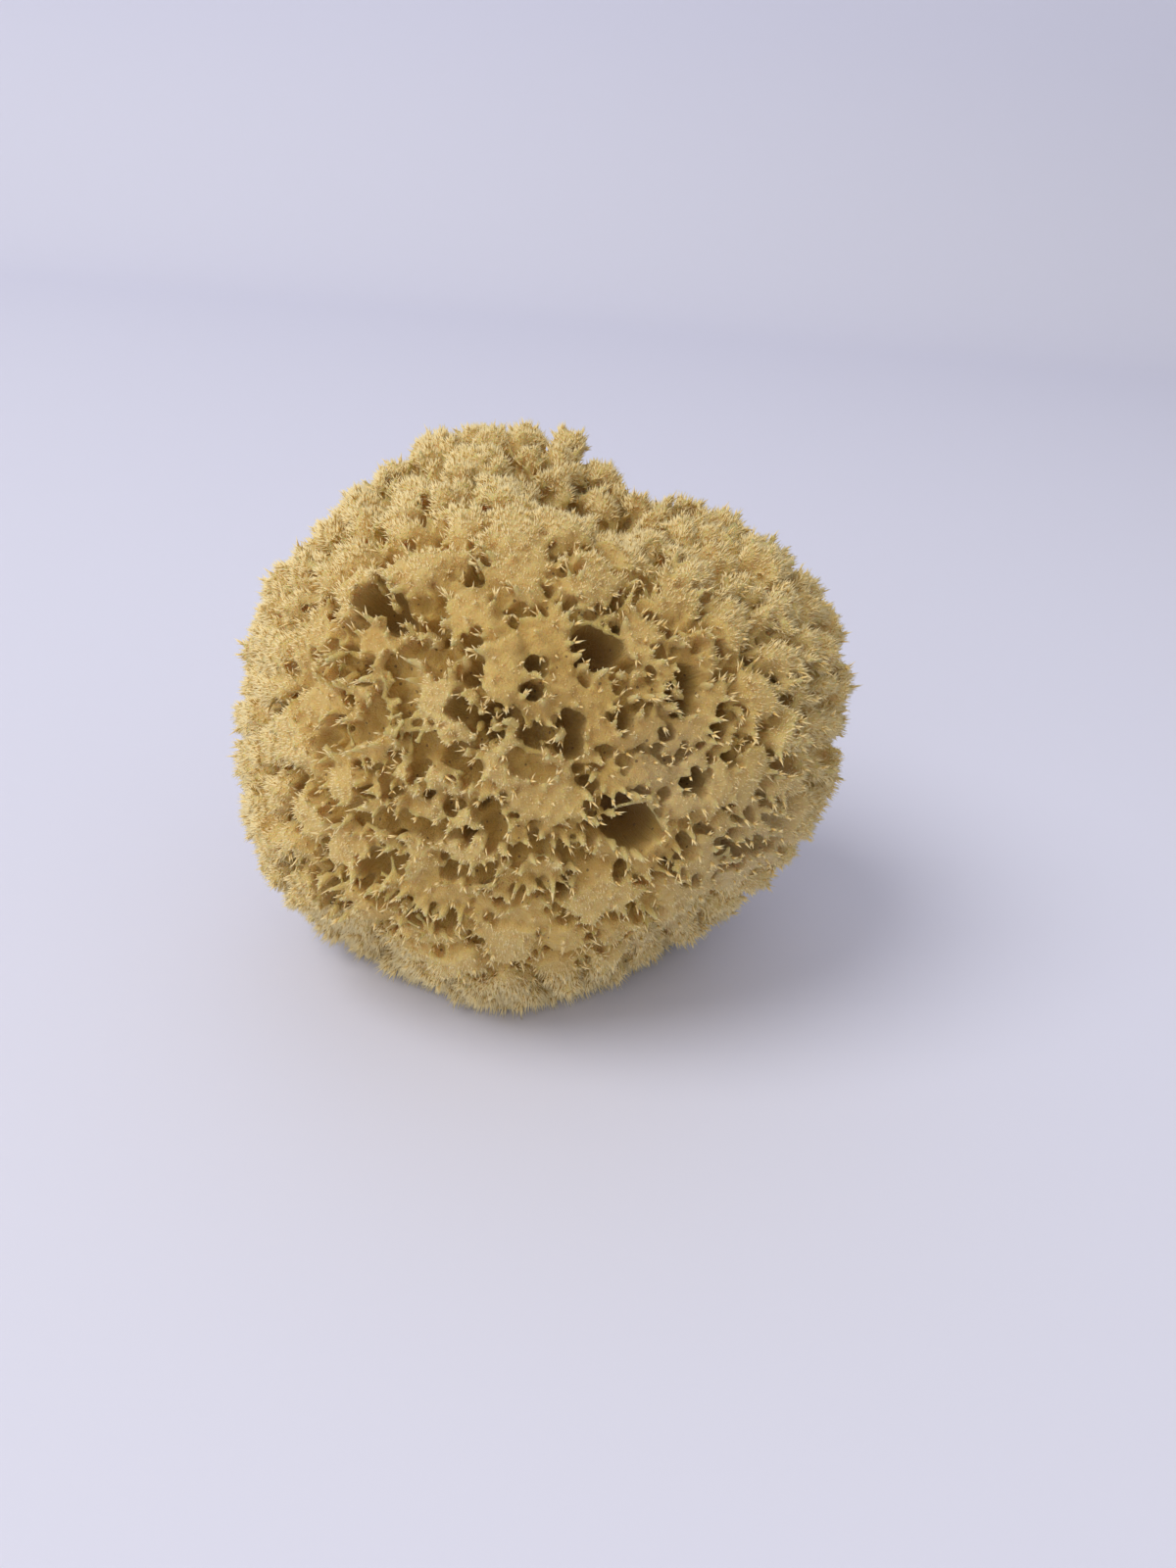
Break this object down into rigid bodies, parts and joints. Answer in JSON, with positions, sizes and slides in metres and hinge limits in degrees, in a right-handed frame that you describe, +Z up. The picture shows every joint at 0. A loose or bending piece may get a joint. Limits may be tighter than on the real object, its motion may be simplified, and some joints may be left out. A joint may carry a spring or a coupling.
{
  "type": "natural sea sponge",
  "caption": "Rounded natural sea sponge with deep pores between bristly tufts, cut off flat underneath so that it stands, for washing or display.",
  "frame": {"origin": "centre of the part's box, on the flat cut base", "axes": "+Z up from the cut base to the crown; +X across the widest way; -Y is the face with the widest pores"},
  "size_m": [0.14, 0.122, 0.119],
  "materials": {
    "sponge": "dry springy fibre skeleton, matt, straw yellow with paler tips and browner pores"
  },
  "bodies": {
    "root": {"sponge": "sponge"}
  },
  "joints": []
}
